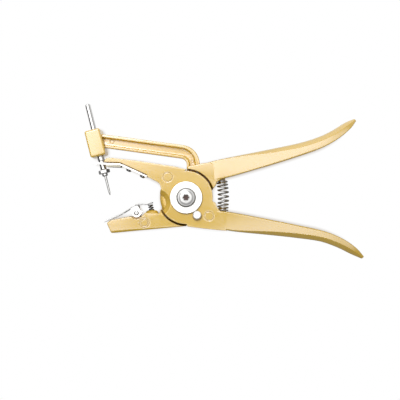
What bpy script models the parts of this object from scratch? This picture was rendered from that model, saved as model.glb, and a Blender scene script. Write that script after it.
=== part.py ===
"""Ear tag applicator: snap-back pliers that set a two-piece ear tag.

Two cast levers cross at one pivot.  The front lever is the upper jaw and the
lower handle, the rear lever is the lower jaw and the upper handle, and a bowed
pin arm turns on the same pivot and carries the needle.  The tool lies flat on
its back: X runs from the jaws to the handles, Y from the lower jaw to the
upper one and Z out of the front face.  Z is 0 where the pivot's flat rear head
rests.  Sizes are millimetres, and the helpers turn them into metres.
"""

import math

import bmesh
import bpy
from mathutils import Matrix, Vector

MM = 0.001

# Fits, and how far a cutter reaches past what it cuts
FIT = 0.3
SEAT = 0.3
OVERCUT = 5.0

# Thickness of the tool, from the back to the front
MIDDLE_Z = 11.0
LEVER_DEPTH = 20.0
REAR_DISC = 5.1
FRONT_DISC = 5.1
LAYER_GAP = 0.4
CASTING_EDGE = 0.8

# Hub
HUB_RADIUS = 24.0
HUB_GAP = 1.6
HUB_ROUNDING = 4.0
EYE_RADIUS = 13.0
HUB_STEPS = 46
WEDGE_START = -121.5
WEDGE_END = 124.5

# Where the levers' outlines follow the hub's rim, in degrees
THROAT_ANGLE = 160.0
FRONT_RIM_LOW = (165.0, 271.0)
FRONT_RIM_HIGH = (-8.0, 93.5)
FRONT_ROOT_ANGLE = 273.0
REAR_RIM_RIGHT = (-88.0, 14.0)
REAR_RIM_LEFT = (86.0, 202.0)

# Pivot
BARREL_RADIUS = 5.0
BARREL_HEAD_RADIUS = 9.0
BARREL_HEAD_DEPTH = 1.6
SCREW_SHANK_RADIUS = 2.6
SCREW_SHANK_LENGTH = 17.0
SCREW_HEAD_RADIUS = 8.8
SCREW_HEAD_HEIGHT = 3.6
SCREW_TOP_RADIUS = 4.9
SCREW_STEP = 0.8
STAR_RADIUS = 2.9
STAR_DEPTH = 2.2
WASHER_RADIUS = 14.5
WASHER_THICKNESS = 1.4
REAR_WASHER_RADIUS = 9.4
REAR_WASHER_THICKNESS = 0.8

# Stop pin in the front lever, and its arc slot in the rear lever
STOP_ANGLE = -58.2
STOP_ORBIT = 18.6
STOP_HEAD_RADIUS = 3.8
STOP_HEAD_HEIGHT = 2.6
STOP_SHANK_RADIUS = 2.5
STOP_MARGIN = 9.5

# How far the levers close
CLOSE_ANGLE = 24.0

# Upper jaw: the line that the stripper plate seats on, and the top edge.
# A third number is the radius of that corner.
JAW_TIP = (-75.2, 31.6)
JAW_BEND = (-59.4, 31.0)
JAW_TIP_RADIUS = 1.2
JAW_BEND_RADIUS = 3.0
JAW_SEAT_END = (-35.2, 20.0)
JAW_STEP = (-34.8, 18.6)
JAW_THROAT = (-24.0, 13.0, 4.0)
JAW_NOSE = (-72.2, 35.0, 1.6)
JAW_BROW = (-69.6, 35.9, 2.0)
JAW_TOP = (-46.0, 33.3)
JAW_RISE = (-10.0, 27.8)
JAW_BACK = (0.2, 25.2)
FORK_SLOT = 11.0
FORK_END = -56.5
UPPER_FORK_Y = 33.0
LOWER_FORK_Y = -25.0

# Roots of the handles, from the hub outwards and round the spring's seat
LOWER_ROOT = (
    (17.0, -28.1), (36.5, -30.0), (34.0, -20.0), (36.8, -13.9),
    (31.2, -13.0, 2.5), (27.6, -8.6, 2.0), (26.6, -5.0, 1.0),
)
UPPER_ROOT = (
    (24.6, 8.3), (26.8, 11.0, 1.5), (27.6, 14.0, 2.0), (32.4, 16.9), (37.0, 18.6),
    (30.0, 24.0), (22.0, 31.8), (12.9, 30.4), (0.8, 27.8),
)

# Lower jaw
ANVIL_TOP = (-67.5, -20.4, 1.5)
ANVIL_NOSE = (-71.6, -22.8, 1.6)
ANVIL_TOE = (-67.5, -32.2, 2.0)
ANVIL_BELLY = (-43.0, -29.8)
ANVIL_HEEL = (0.4, -25.7)
ANVIL_STEP = (-24.0, -14.3, 1.2)
ANVIL_CREST = (-34.0, -13.8)
ANVIL_SHOULDER = (-36.5, -13.4, 1.5)
ANVIL_DIP = (-41.0, -17.6, 1.5)
ANVIL_SADDLE = (-51.7, -17.3)
ANVIL_END = -56.0
ANVIL_ROUNDING = ((-73.0, -32.75, 2.8), (-43.0, -29.8, 2.2), (-8.0, -26.5, 1.0))

# Scallop in the front disc's rim, and the ejector pins' marks: x, y, radius (and inner radius)
CRESCENT = (-26.8, -5.0, 12.7)
CRESCENT_SLOPE = 4.2
JAW_MARK = (-16.6, 18.4, 4.5)
HANDLE_MARK = (20.7, -16.7, 4.4)
ANVIL_MARK = (-37.6, -22.7, 4.8, 3.4)
ARM_MARK = (-67.8, 50.5, 2.0)
ARM_ROOT_MARK = (5.9, 32.7, 1.5)
MARK_WIDTH = 0.6
MARK_DEPTH = 0.25

# Stripper plate
PLATE_THICKNESS = 1.5
PLATE_WIDTH = 18.0
PLATE_SLOT = 10.4
PLATE_SLOT_END = -60.4
PLATE_RIB_START = -72.6
PLATE_RIB_HEIGHT = 1.7
PLATE_RIB_THICKNESS = 1.3
PLATE_RIB_OFFSET = 6.7
PLATE_REACH = 9.0
PLATE_SCREW_PLACES = (8.6, 22.3)
PLATE_SCREW_HEAD = 2.6
PLATE_SCREW_HEIGHT = 1.9
PLATE_SCREW_SHANK = 1.5
PLATE_SCREW_LENGTH = 6.5

# Pin arm
ARM_WEB = 3.0
ARM_TOP_FLANGE = 2.7
ARM_LOWER_FLANGE = 2.3
ARM_EDGE = 0.7
ARM_FILLET = 1.3
WEB_END = -82.0
WEB_FOOT = 22.5
ARM_LEFT = 0.5
BOW_OUTER_RADIUS = 17.0
BOW_INNER_RADIUS = 6.0
BOW_OUTER = (9.6, 46.0)
BOW_INNER = (ARM_LEFT, 35.0)
ARM_TOP_END = (-79.0, 57.9)
ARM_LOWER_END = (-78.0, 45.8)
ARM_ROOT_RIGHT = (12.5, 30.4)
ARM_ROOT_FOOT = (11.4, 20.0)

# Room in the rear lever where the arm's root ends up, snapped back
ARM_ROOM_RIGHT = 25.4
ARM_ROOM_LEFT = -12.0
ARM_ROOM_TOP = 45.0
ARM_ROOM_START = (0.0, 20.0)
ARM_ROOM_FOOT = (20.0, 11.0)
ARM_ROOM_SHOULDER = 21.0

# Block at the end of the pin arm, and the axis of the pin through it
BLOCK_CENTRE = (-82.2, 49.3)
BLOCK_WIDTH = 14.0
BLOCK_LENGTH = 24.4
BLOCK_DEPTH = 21.0
BLOCK_EDGE = 1.6
PIN_TILT = 14.0
PIN_OFFSET = 0.7

# Plunger rod, lock nut and needle: distances along the pin from the block
ROD_RADIUS = 2.5
ROD_TOP = 36.9
ROD_COLLAR_RADIUS = 3.2
ROD_COLLAR_LENGTH = 4.0
ROD_FOOT = 24.6
ROD_FOOT_RADIUS = 2.8
NUT_FLATS = 9.0
NUT_HEIGHT = 3.4
NEEDLE_SHANK_RADIUS = 1.4
NEEDLE_SHANK_LENGTH = 5.5
NEEDLE_COLLAR_RADIUS = 2.6
NEEDLE_COLLAR_LENGTH = 2.2
NEEDLE_RADIUS = 1.1
NEEDLE_LENGTH = 18.0
NEEDLE_TIP_RADIUS = 0.35
NEEDLE_POINT_LENGTH = 3.0
SET_SCREW_RADIUS = 2.0
SET_SCREW_LENGTH = 6.5

# Tag clip on the lower jaw
CLIP_PIVOT = (-44.8, -13.9)
CLIP_PATH = ((-74.1, -21.9), (-60.3, -15.8), (-44.9, -6.3), (-36.2, -6.2), (-31.0, -4.7))
CLIP_THICKNESS = 1.0
CLIP_WIDTH = 16.8
CLIP_SLOT = 10.0
CLIP_SLOT_END = -54.0
CLIP_LOBE = 4.0
CLIP_RECESS = 5.8
CLIP_LUG = 3.2
CLIP_LUG_FOOT = -20.0
CLIP_PIN_RADIUS = 1.4
CLIP_PIN_HEAD = 2.3
CLIP_PIN_HEAD_HEIGHT = 0.9

# Small spring under the clip's thumb tab, and the boss that it stands on
BOSS_X = -31.3
BOSS_RADIUS = 5.8
BOSS_TOP = -11.3
BOSS_HEIGHT = 5.0
CLIP_SPRING_RADIUS = 1.85
CLIP_SPRING_WIRE = 0.3
CLIP_SPRING_TURNS = 3.0
CLIP_SPRING_LEAN = -0.9

# Spring between the handles
SPRING_FOOT = (33.2, -12.9)
SPRING_HEAD = (32.4, 16.6)
SPRING_BOW = 1.1
SPRING_RADIUS = 4.6
SPRING_WIRE = 0.7
SPRING_TURNS = 9.0
SPIGOT_RADIUS = 3.2
SPIGOT_LENGTH = 4.0
POCKET_RADIUS = 6.0

# Torsion spring that snaps the pin arm back
RETRACT_RADIUS = 8.7
RETRACT_WIRE = 0.45
RETRACT_TURNS = 2.5
RETRACT_PITCH = 1.0
POCKET_WALL = 1.4
LEG_COVER = 0.8
LEG_LENGTH = 2.6

# Handles: x, y, width, depth and width of the rounded palm side
LOWER_HANDLE = (
    (20.0, -18.6, 15.6, 19.4, 0.8),
    (34.0, -20.9, 16.6, 21.0, 1.1),
    (48.0, -23.2, 16.7, 21.6, 1.6),
    (80.0, -27.9, 13.6, 21.9, 3.8),
    (104.0, -31.7, 11.4, 21.9, 4.4),
    (124.0, -35.4, 10.0, 21.9, 4.2),
    (140.0, -41.6, 9.0, 21.0, 4.0),
    (152.0, -48.6, 7.0, 17.0, 3.2),
    (160.6, -54.6, 2.8, 9.0, 1.2),
)
UPPER_HANDLE = (
    (19.0, 22.9, 17.0, 18.6, 0.8),
    (27.0, 24.9, 17.6, 21.2, 0.9),
    (38.0, 27.4, 17.6, 21.8, 1.2),
    (56.0, 31.8, 16.2, 21.9, 2.0),
    (80.0, 37.8, 13.9, 21.9, 3.8),
    (104.0, 44.2, 11.4, 21.9, 4.4),
    (122.0, 50.2, 10.4, 21.9, 4.2),
    (136.0, 57.6, 9.0, 21.0, 4.0),
    (147.0, 65.6, 7.0, 17.0, 3.2),
    (153.6, 70.6, 2.8, 9.0, 1.2),
)
HANDLE_STEPS = 3
PALM_STEPS = 6
PALM_SPREAD = 62.0
HANDLE_EDGE = 1.2
CHANNEL_SIDE_WALL = 3.0
CHANNEL_PALM_WALL = 4.2
CHANNEL_START = 60.0
LOWER_TIP_LAND = 20.6
UPPER_TIP_LAND = 13.6
CHANNEL_OVERCUT = 2.0
HANDLE_DRAFT = 3.0

# Levels along Z that follow from the sizes above
BACK_Z = MIDDLE_Z - LEVER_DEPTH / 2
FRONT_Z = MIDDLE_Z + LEVER_DEPTH / 2
REAR_DISC_TOP = BACK_Z + REAR_DISC
FRONT_DISC_FLOOR = FRONT_Z - FRONT_DISC
ARM_BACK_Z = REAR_DISC_TOP + LAYER_GAP
ARM_FRONT_Z = FRONT_DISC_FLOOR - LAYER_GAP
OPEN_RADIUS = HUB_RADIUS + HUB_GAP
WASHER_Z = FRONT_Z + SEAT
SCREW_HEAD_Z = WASHER_Z + WASHER_THICKNESS + SEAT
REAR_WASHER_Z = BARREL_HEAD_DEPTH + SEAT
COUNTERBORE_Z = REAR_WASHER_Z + REAR_WASHER_THICKNESS + SEAT
COIL_TOP_Z = FRONT_DISC_FLOOR - FIT - RETRACT_WIRE
COIL_FOOT_Z = COIL_TOP_Z - RETRACT_TURNS * RETRACT_PITCH
POCKET_FLOOR_Z = COIL_FOOT_Z - RETRACT_WIRE - FIT


def millimetres(*values):
    """A vector in metres for three sizes in millimetres."""
    return Vector(values) * MM


def polar(radius, degrees, centre=(0.0, 0.0)):
    """The point at this distance and angle from a centre."""
    angle = math.radians(degrees)
    return (centre[0] + radius * math.cos(angle), centre[1] + radius * math.sin(angle))


def arc(radius, start, end, steps, centre=(0.0, 0.0)):
    """Points along an arc, both ends included."""
    return [polar(radius, start + (end - start) * i / steps, centre) for i in range(steps + 1)]


def rounded(corners, steps=5):
    """An outline whose corners (x, y, radius) are rounded; (x, y) stays sharp."""
    outline = []
    for i, corner in enumerate(corners):
        here = Vector(corner[:2])
        radius = corner[2] if len(corner) > 2 else 0.0
        if not radius:
            outline.append(tuple(here))
            continue
        before = (Vector(corners[i - 1][:2]) - here).normalized()
        after = (Vector(corners[(i + 1) % len(corners)][:2]) - here).normalized()
        half = before.angle(after) / 2
        reach = radius / math.tan(half)
        middle = here + (before + after).normalized() * (radius / math.sin(half))
        start = here + before * reach - middle
        turn = start.angle_signed(here + after * reach - middle)
        for k in range(steps + 1):
            spoke = start.copy()
            spoke.rotate(Matrix.Rotation(-turn * k / steps, 2))
            outline.append(tuple(middle + spoke))
    return outline


def offset_line(path, distance):
    """The path moved sideways, to its left, with mitred bends."""
    points = [Vector(p) for p in path]
    moved = []
    for i, point in enumerate(points):
        sides = []
        for a, b in ((i - 1, i), (i, i + 1)):
            if a >= 0 and b < len(points):
                run = (points[b] - points[a]).normalized()
                sides.append(Vector((-run.y, run.x)))
        mitre = sum(sides, Vector((0.0, 0.0))).normalized()
        moved.append(tuple(point + mitre * (distance / mitre.dot(sides[0]))))
    return moved


def strip(path, thickness):
    """The side view of a bent sheet whose middle line is the path."""
    return offset_line(path, thickness / 2) + offset_line(path, -thickness / 2)[::-1]


def new_object(name, mesh, collection):
    """An object of this mesh in a collection."""
    piece = bpy.data.objects.new(name, mesh)
    collection.objects.link(piece)
    return piece


def prism(name, outline, low, high, collection, placing=None):
    """A flat outline with a thickness from low to high along its own Z."""
    curve = bpy.data.curves.new(name, 'CURVE')
    curve.dimensions = '2D'
    curve.fill_mode = 'BOTH'
    curve.extrude = (high - low) / 2 * MM
    spline = curve.splines.new('POLY')
    spline.points.add(len(outline) - 1)
    for point, (x, y) in zip(spline.points, outline):
        point.co = (x * MM, y * MM, 0.0, 1.0)
    spline.use_cyclic_u = True
    flat = bpy.data.objects.new(name, curve)
    bpy.context.scene.collection.objects.link(flat)
    place = placing or Matrix.Identity(4)
    flat.matrix_world = place @ Matrix.Translation(millimetres(0, 0, (low + high) / 2))
    mesh = mesh_of(flat)
    bpy.data.objects.remove(flat)
    mesh.name = name
    return new_object(name, mesh, collection)


def mesh_of(curve_object):
    """A welded mesh of a curve object, in world space."""
    bpy.context.view_layer.update()
    evaluated = curve_object.evaluated_get(bpy.context.evaluated_depsgraph_get())
    mesh = bpy.data.meshes.new_from_object(evaluated)
    mesh.transform(curve_object.matrix_world)
    form = bmesh.new()
    form.from_mesh(mesh)
    bmesh.ops.remove_doubles(form, verts=form.verts, dist=1e-7)
    bmesh.ops.dissolve_limit(form, angle_limit=1e-3, verts=form.verts, edges=form.edges)
    bmesh.ops.recalc_face_normals(form, faces=form.faces)
    form.to_mesh(mesh)
    form.free()
    return mesh


def turned(name, profile, collection, placing=None, steps=40, hollow=False):
    """A turned piece: (radius, z) from the top down its outer side."""
    mesh = bpy.data.meshes.new(name)
    links = [(i, i + 1) for i in range(len(profile) - 1)]
    if hollow:
        links.append((len(profile) - 1, 0))
    mesh.from_pydata([millimetres(radius, 0, z) for radius, z in profile], links, [])
    piece = new_object(name, mesh, collection)
    piece.matrix_world = placing or Matrix.Identity(4)
    screw = piece.modifiers.new("turn", 'SCREW')
    screw.steps = steps
    screw.render_steps = steps
    screw.use_merge_vertices = True
    screw.merge_threshold = 1e-6
    return piece


def cylinder(name, radius, low, high, collection, placing=None, steps=40):
    """A plain cylinder between two heights of its own Z."""
    form = bmesh.new()
    bmesh.ops.create_cone(form, cap_ends=True, segments=steps, radius1=radius * MM, radius2=radius * MM,
                          depth=(high - low) * MM)
    bmesh.ops.translate(form, verts=form.verts, vec=millimetres(0, 0, (low + high) / 2))
    mesh = bpy.data.meshes.new(name)
    form.to_mesh(mesh)
    form.free()
    piece = new_object(name, mesh, collection)
    piece.matrix_world = placing or Matrix.Identity(4)
    return piece


def ring(name, outer, inner, low, high, edge, collection):
    """A flat ring with a small chamfer on its upper rim."""
    profile = [(inner, high), (outer - edge, high), (outer, high - edge), (outer, low), (inner, low)]
    return turned(name, profile, collection, hollow=True)


def wire(name, path, radius, collection, sides=2):
    """A round wire along a path of points."""
    curve = bpy.data.curves.new(name, 'CURVE')
    curve.dimensions = '3D'
    curve.bevel_depth = radius * MM
    curve.bevel_resolution = sides
    curve.use_fill_caps = True
    spline = curve.splines.new('POLY')
    spline.points.add(len(path) - 1)
    for point, place in zip(spline.points, path):
        point.co = (*millimetres(*place), 1.0)
    piece = bpy.data.objects.new(name, curve)
    collection.objects.link(piece)
    return piece


def lofted(name, rings, collection):
    """A closed skin through rings of equally many points."""
    form = bmesh.new()
    rows = [[form.verts.new(millimetres(*point)) for point in points] for points in rings]
    count = len(rows[0])
    for low, high in zip(rows, rows[1:]):
        for i in range(count):
            k = (i + 1) % count
            form.faces.new((low[i], low[k], high[k], high[i]))
    form.faces.new(rows[0][::-1])
    form.faces.new(rows[-1])
    bmesh.ops.recalc_face_normals(form, faces=form.faces)
    bmesh.ops.triangulate(form, faces=form.faces)
    mesh = bpy.data.meshes.new(name)
    form.to_mesh(mesh)
    form.free()
    return new_object(name, mesh, collection)


def bevel(piece, width, segments=2, angle=50.0):
    """Rounded edges wherever two faces meet at more than the angle."""
    modifier = piece.modifiers.new("edges", 'BEVEL')
    modifier.width = width * MM
    modifier.segments = segments
    modifier.limit_method = 'ANGLE'
    modifier.angle_limit = math.radians(angle)
    return piece


def combine(piece, tool, operation):
    """A Boolean of a piece with a tool, which stays as a guide."""
    modifier = piece.modifiers.new(tool.name, 'BOOLEAN')
    modifier.operation = operation
    modifier.object = tool
    modifier.solver = 'EXACT'
    tool.hide_render = True
    tool.display_type = 'WIRE'


def cut(piece, *tools):
    """Take tools away from a piece."""
    for tool in tools:
        combine(piece, tool, 'DIFFERENCE')


def join(piece, *tools):
    """Add tools to a piece."""
    for tool in tools:
        combine(piece, tool, 'UNION')


def along(start, end, z=MIDDLE_Z):
    """A placing whose Z runs from one point of the XY plane to another."""
    run = Vector((end[0] - start[0], end[1] - start[1], 0.0)).normalized()
    turn = run.to_track_quat('Z', 'Y').to_matrix().to_4x4()
    return Matrix.Translation(millimetres(start[0], start[1], z)) @ turn


def edge_on(x, y, tilt=0.0):
    """A placing that looks at the XZ plane, with its own Z along -Y."""
    turn = Matrix.Rotation(math.radians(tilt), 4, 'Z') @ Matrix.Rotation(math.radians(90), 4, 'X')
    return Matrix.Translation(millimetres(x, y, MIDDLE_Z)) @ turn


def smooth_rows(rows, steps):
    """Rows of numbers with Catmull-Rom rows put in between."""
    padded = [Vector(rows[0]) * 2 - Vector(rows[1])] + [Vector(r) for r in rows]
    padded.append(Vector(rows[-1]) * 2 - Vector(rows[-2]))
    result = []
    for a, b, c, d in zip(padded, padded[1:], padded[2:], padded[3:]):
        for i in range(steps):
            t = i / steps
            result.append((b * 2 + (c - a) * t + (a * 2 - b * 5 + c * 4 - d) * t ** 2
                           + (b * 3 - a - c * 3 + d) * t ** 3) / 2)
    result.append(Vector(rows[-1]))
    return result


def stations(rows, palm_side, steps):
    """Middle point, palm direction, width, depth and band along a handle."""
    line = smooth_rows(rows, steps)
    result = []
    for i, row in enumerate(line):
        run = line[min(i + 1, len(line) - 1)] - line[max(i - 1, 0)]
        run = Vector((run[0], run[1])).normalized()
        palm = Vector((-run.y, run.x)) * palm_side
        result.append((Vector((row[0], row[1])), palm, row[2], row[3], row[4]))
    return result


def handle_ring(station):
    """One section of a handle: flat sides, a soft inner edge, a round palm."""
    middle, palm, width, depth, band = station
    edge = min(HANDLE_EDGE, width / 4)
    spread = math.radians(PALM_SPREAD)
    palm_height = depth / 2 - (width - band) * math.tan(math.radians(HANDLE_DRAFT))
    section = []
    for k in range(PALM_STEPS + 1):
        angle = spread * (1 - 2 * k / PALM_STEPS)
        bulge = (math.cos(angle) - math.cos(spread)) / (1 - math.cos(spread))
        section.append((width / 2 - band + band * bulge, palm_height * math.sin(angle) / math.sin(spread)))
    for turn in (-90.0, -135.0, -180.0):
        section.append(polar(edge, turn, (edge - width / 2, edge - depth / 2)))
    for turn in (180.0, 135.0, 90.0):
        section.append(polar(edge, turn, (edge - width / 2, depth / 2 - edge)))
    return [(*(middle + palm * out), MIDDLE_Z + up) for out, up in section]


def channel_ring(station):
    """One section of the channel that lightens a handle from its inner side."""
    middle, palm, width, depth, band = station
    side = depth / 2 - CHANNEL_SIDE_WALL
    floor = max(width / 2 - CHANNEL_PALM_WALL, CHANNEL_OVERCUT - width / 2)
    mouth = -width / 2 - CHANNEL_OVERCUT
    section = ((mouth, -side), (floor, -side + 1), (floor, side - 1), (mouth, side))
    return [(*(middle + palm * out), MIDDLE_Z + up) for out, up in section]


def cast_handle(name, rows, palm_side, tip_land, guides):
    """A lofted handle and the channel that is cut into it, short of the tip."""
    solid = lofted(name, [handle_ring(s) for s in stations(rows, palm_side, HANDLE_STEPS)], guides)
    between = stations(rows, palm_side, 2 * HANDLE_STEPS)[1::2]
    channel_end = rows[-1][0] - tip_land
    hollow = [channel_ring(s) for s in between if CHANNEL_START < s[0].x < channel_end]
    return solid, lofted(name + "_channel", hollow, guides)


def slot_cutter(name, end, width, y, guides, start=-100.0):
    """A slot seen from above, open at the jaw's tip and round at its end."""
    half = width / 2
    outline = [(start, -half)] + arc(half, -90, 90, 10, (end - half, 0.0)) + [(start, half)]
    return prism(name, outline, -25.0, 25.0, guides, edge_on(0.0, y))


def ejector_marks(name, mark, guides, face=FRONT_Z):
    """The shallow rings that an ejector pin leaves on a flat face."""
    x, y, *radii = mark
    place = Matrix.Translation(millimetres(x, y, face))
    rings = []
    for index, radius in enumerate(radii):
        inner = radius - MARK_WIDTH
        profile = [(radius, 1.0), (radius, -MARK_DEPTH), (inner, -MARK_DEPTH), (inner, 1.0)]
        rings.append(turned(f"{name}_{index}", profile, guides, place, 16, hollow=True))
    return rings


def edge_rounding(name, line, face, inward, guides):
    """A cutter that rounds a lower edge on the front or the back face."""
    sections = []
    for x, y, radius in line:
        section = [(x, y - 1, face - inward), (x, y - 1, face + inward * radius)]
        section += [(x, y + radius + ahead, face + inward * radius + rise * inward)
                    for ahead, rise in arc(radius, 180.0, 270.0, 4)]
        section.append((x, y + radius, face - inward))
        sections.append(section)
    return lofted(name, sections, guides)


def front_lever(model, guides):
    """Upper jaw, front hub disc and lower handle in one casting."""
    jaw = [
        (*JAW_TIP, JAW_TIP_RADIUS), (*JAW_BEND, JAW_BEND_RADIUS), JAW_SEAT_END, JAW_STEP,
        JAW_THROAT, polar(HUB_RADIUS, THROAT_ANGLE),
    ]
    lower_rim = arc(HUB_RADIUS, *FRONT_RIM_LOW, 26)
    root = [polar(OPEN_RADIUS + 2 * FIT, FRONT_ROOT_ANGLE), *LOWER_ROOT]
    upper_rim = arc(HUB_RADIUS, *FRONT_RIM_HIGH, 26)
    top = [JAW_BACK, JAW_RISE, JAW_TOP, JAW_BROW, JAW_NOSE]
    outline = rounded(jaw + lower_rim + root + upper_rim + top)
    lever = bevel(prism("front_lever", outline, BACK_Z, FRONT_Z, model), CASTING_EDGE)
    handle, channel = cast_handle("lower_handle", LOWER_HANDLE, -1, LOWER_TIP_LAND, guides)
    join(lever, handle)
    cut(lever, channel)
    cut(lever, cylinder("hub_room_front", OPEN_RADIUS, BACK_Z - OVERCUT, FRONT_DISC_FLOOR, guides, steps=HUB_STEPS))
    cut(lever, cylinder("front_bore", BARREL_RADIUS + FIT, BACK_Z, FRONT_Z + OVERCUT, guides))
    x, y, radius = CRESCENT
    scallop = Matrix.Translation(millimetres(x, y, 0))
    floor = radius - CRESCENT_SLOPE
    above = radius + CRESCENT_SLOPE
    scoop = [(0, FRONT_Z + FRONT_DISC), (above, FRONT_Z + FRONT_DISC), (floor, FRONT_DISC_FLOOR), (floor, BACK_Z),
             (0, BACK_Z)]
    cut(lever, turned("crescent", scoop, guides, scallop, 48))
    cut(lever, slot_cutter("upper_fork", FORK_END, FORK_SLOT, UPPER_FORK_Y, guides))
    seat = along(SPRING_FOOT, SPRING_HEAD)
    cut(lever, cylinder("lower_pocket", POCKET_RADIUS, 0, 12, guides, seat))
    join(lever, cylinder("lower_spigot", SPIGOT_RADIUS, -3, SPIGOT_LENGTH, guides, seat, 24))
    stop = Matrix.Translation(millimetres(*polar(STOP_ORBIT, STOP_ANGLE), 0))
    cut(lever, cylinder("stop_hole", STOP_SHANK_RADIUS + FIT, BACK_Z, FRONT_Z + OVERCUT, guides, stop, 24))
    for index, place in enumerate(plate_screw_places()):
        hole = cylinder(f"plate_hole_{index}", PLATE_SCREW_SHANK + FIT, -2,
                        PLATE_SCREW_LENGTH + 1, guides, place, 16)
        cut(lever, hole)
    leg = Matrix.Translation(millimetres(*polar(RETRACT_RADIUS, retract_end_angle()), 0))
    cut(lever, cylinder("leg_hole", RETRACT_WIRE + FIT, FRONT_DISC_FLOOR - 2,
                        FRONT_DISC_FLOOR + LEG_LENGTH, guides, leg, 12))
    cut(lever, *ejector_marks("jaw_mark", JAW_MARK, guides), *ejector_marks("handle_mark", HANDLE_MARK, guides))
    return lever


def plate_line():
    """The line on the upper jaw that the stripper plate seats on."""
    tip = Vector(JAW_TIP)
    run = (tip - Vector(JAW_BEND)).normalized()
    return [tuple(tip + run * PLATE_REACH), JAW_BEND, JAW_SEAT_END]


def plate_screw_places():
    """Placings of the plate's screws, with Z into the jaw."""
    bend, end = Vector(JAW_BEND), Vector(JAW_SEAT_END)
    run = (end - bend).normalized()
    into = Vector((-run.y, run.x))
    places = []
    for distance in PLATE_SCREW_PLACES:
        seat = bend + run * distance
        places.append(along(tuple(seat), tuple(seat + into)))
    return places


def stripper_plate(model, guides):
    """Bent steel plate under the upper jaw, forked round the pin."""
    middle = offset_line(plate_line(), -(SEAT + PLATE_THICKNESS / 2))
    half = PLATE_WIDTH / 2
    plate = prism("stripper_plate", strip(middle, PLATE_THICKNESS), MIDDLE_Z - half, MIDDLE_Z + half, model)
    cut(plate, slot_cutter("plate_fork", PLATE_SLOT_END, PLATE_SLOT, UPPER_FORK_Y, guides))
    tip, bend = Vector(JAW_TIP), Vector(JAW_BEND)
    slope = (bend.y - tip.y) / (bend.x - tip.x)
    low = [tip.y + slope * (x - tip.x) - SEAT - PLATE_THICKNESS for x in (PLATE_RIB_START, bend.x)]
    rib = [(PLATE_RIB_START, low[0] + 0.5), (PLATE_RIB_START, low[0] - PLATE_RIB_HEIGHT),
           (bend.x, low[1] - PLATE_RIB_HEIGHT), (bend.x, low[1] + 0.5)]
    for name, side in (("front_rib", PLATE_RIB_OFFSET), ("back_rib", -PLATE_RIB_OFFSET)):
        start = MIDDLE_Z + side - PLATE_RIB_THICKNESS / 2
        join(plate, prism(name, rib, start, start + PLATE_RIB_THICKNESS, guides))
    for index, place in enumerate(plate_screw_places()):
        cut(plate, cylinder(f"plate_bore_{index}", PLATE_SCREW_SHANK + FIT, -6, 2, guides, place, 16))
    return plate


def plate_screws(model):
    """Low round-head screws that hold the stripper plate."""
    seat = -(2 * SEAT + PLATE_THICKNESS)
    head = seat - PLATE_SCREW_HEIGHT
    names = ("plate_screw_front", "plate_screw_rear")
    profile = [
        (0, PLATE_SCREW_LENGTH), (PLATE_SCREW_SHANK - 0.4, PLATE_SCREW_LENGTH),
        (PLATE_SCREW_SHANK, PLATE_SCREW_LENGTH - 0.5), (PLATE_SCREW_SHANK, seat),
        (PLATE_SCREW_HEAD, seat), (PLATE_SCREW_HEAD, seat - 0.4),
        (PLATE_SCREW_HEAD * 0.8, head + 0.3), (PLATE_SCREW_HEAD * 0.45, head), (0, head),
    ]
    return [turned(name, profile, model, place, 20) for name, place in zip(names, plate_screw_places())]


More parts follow.
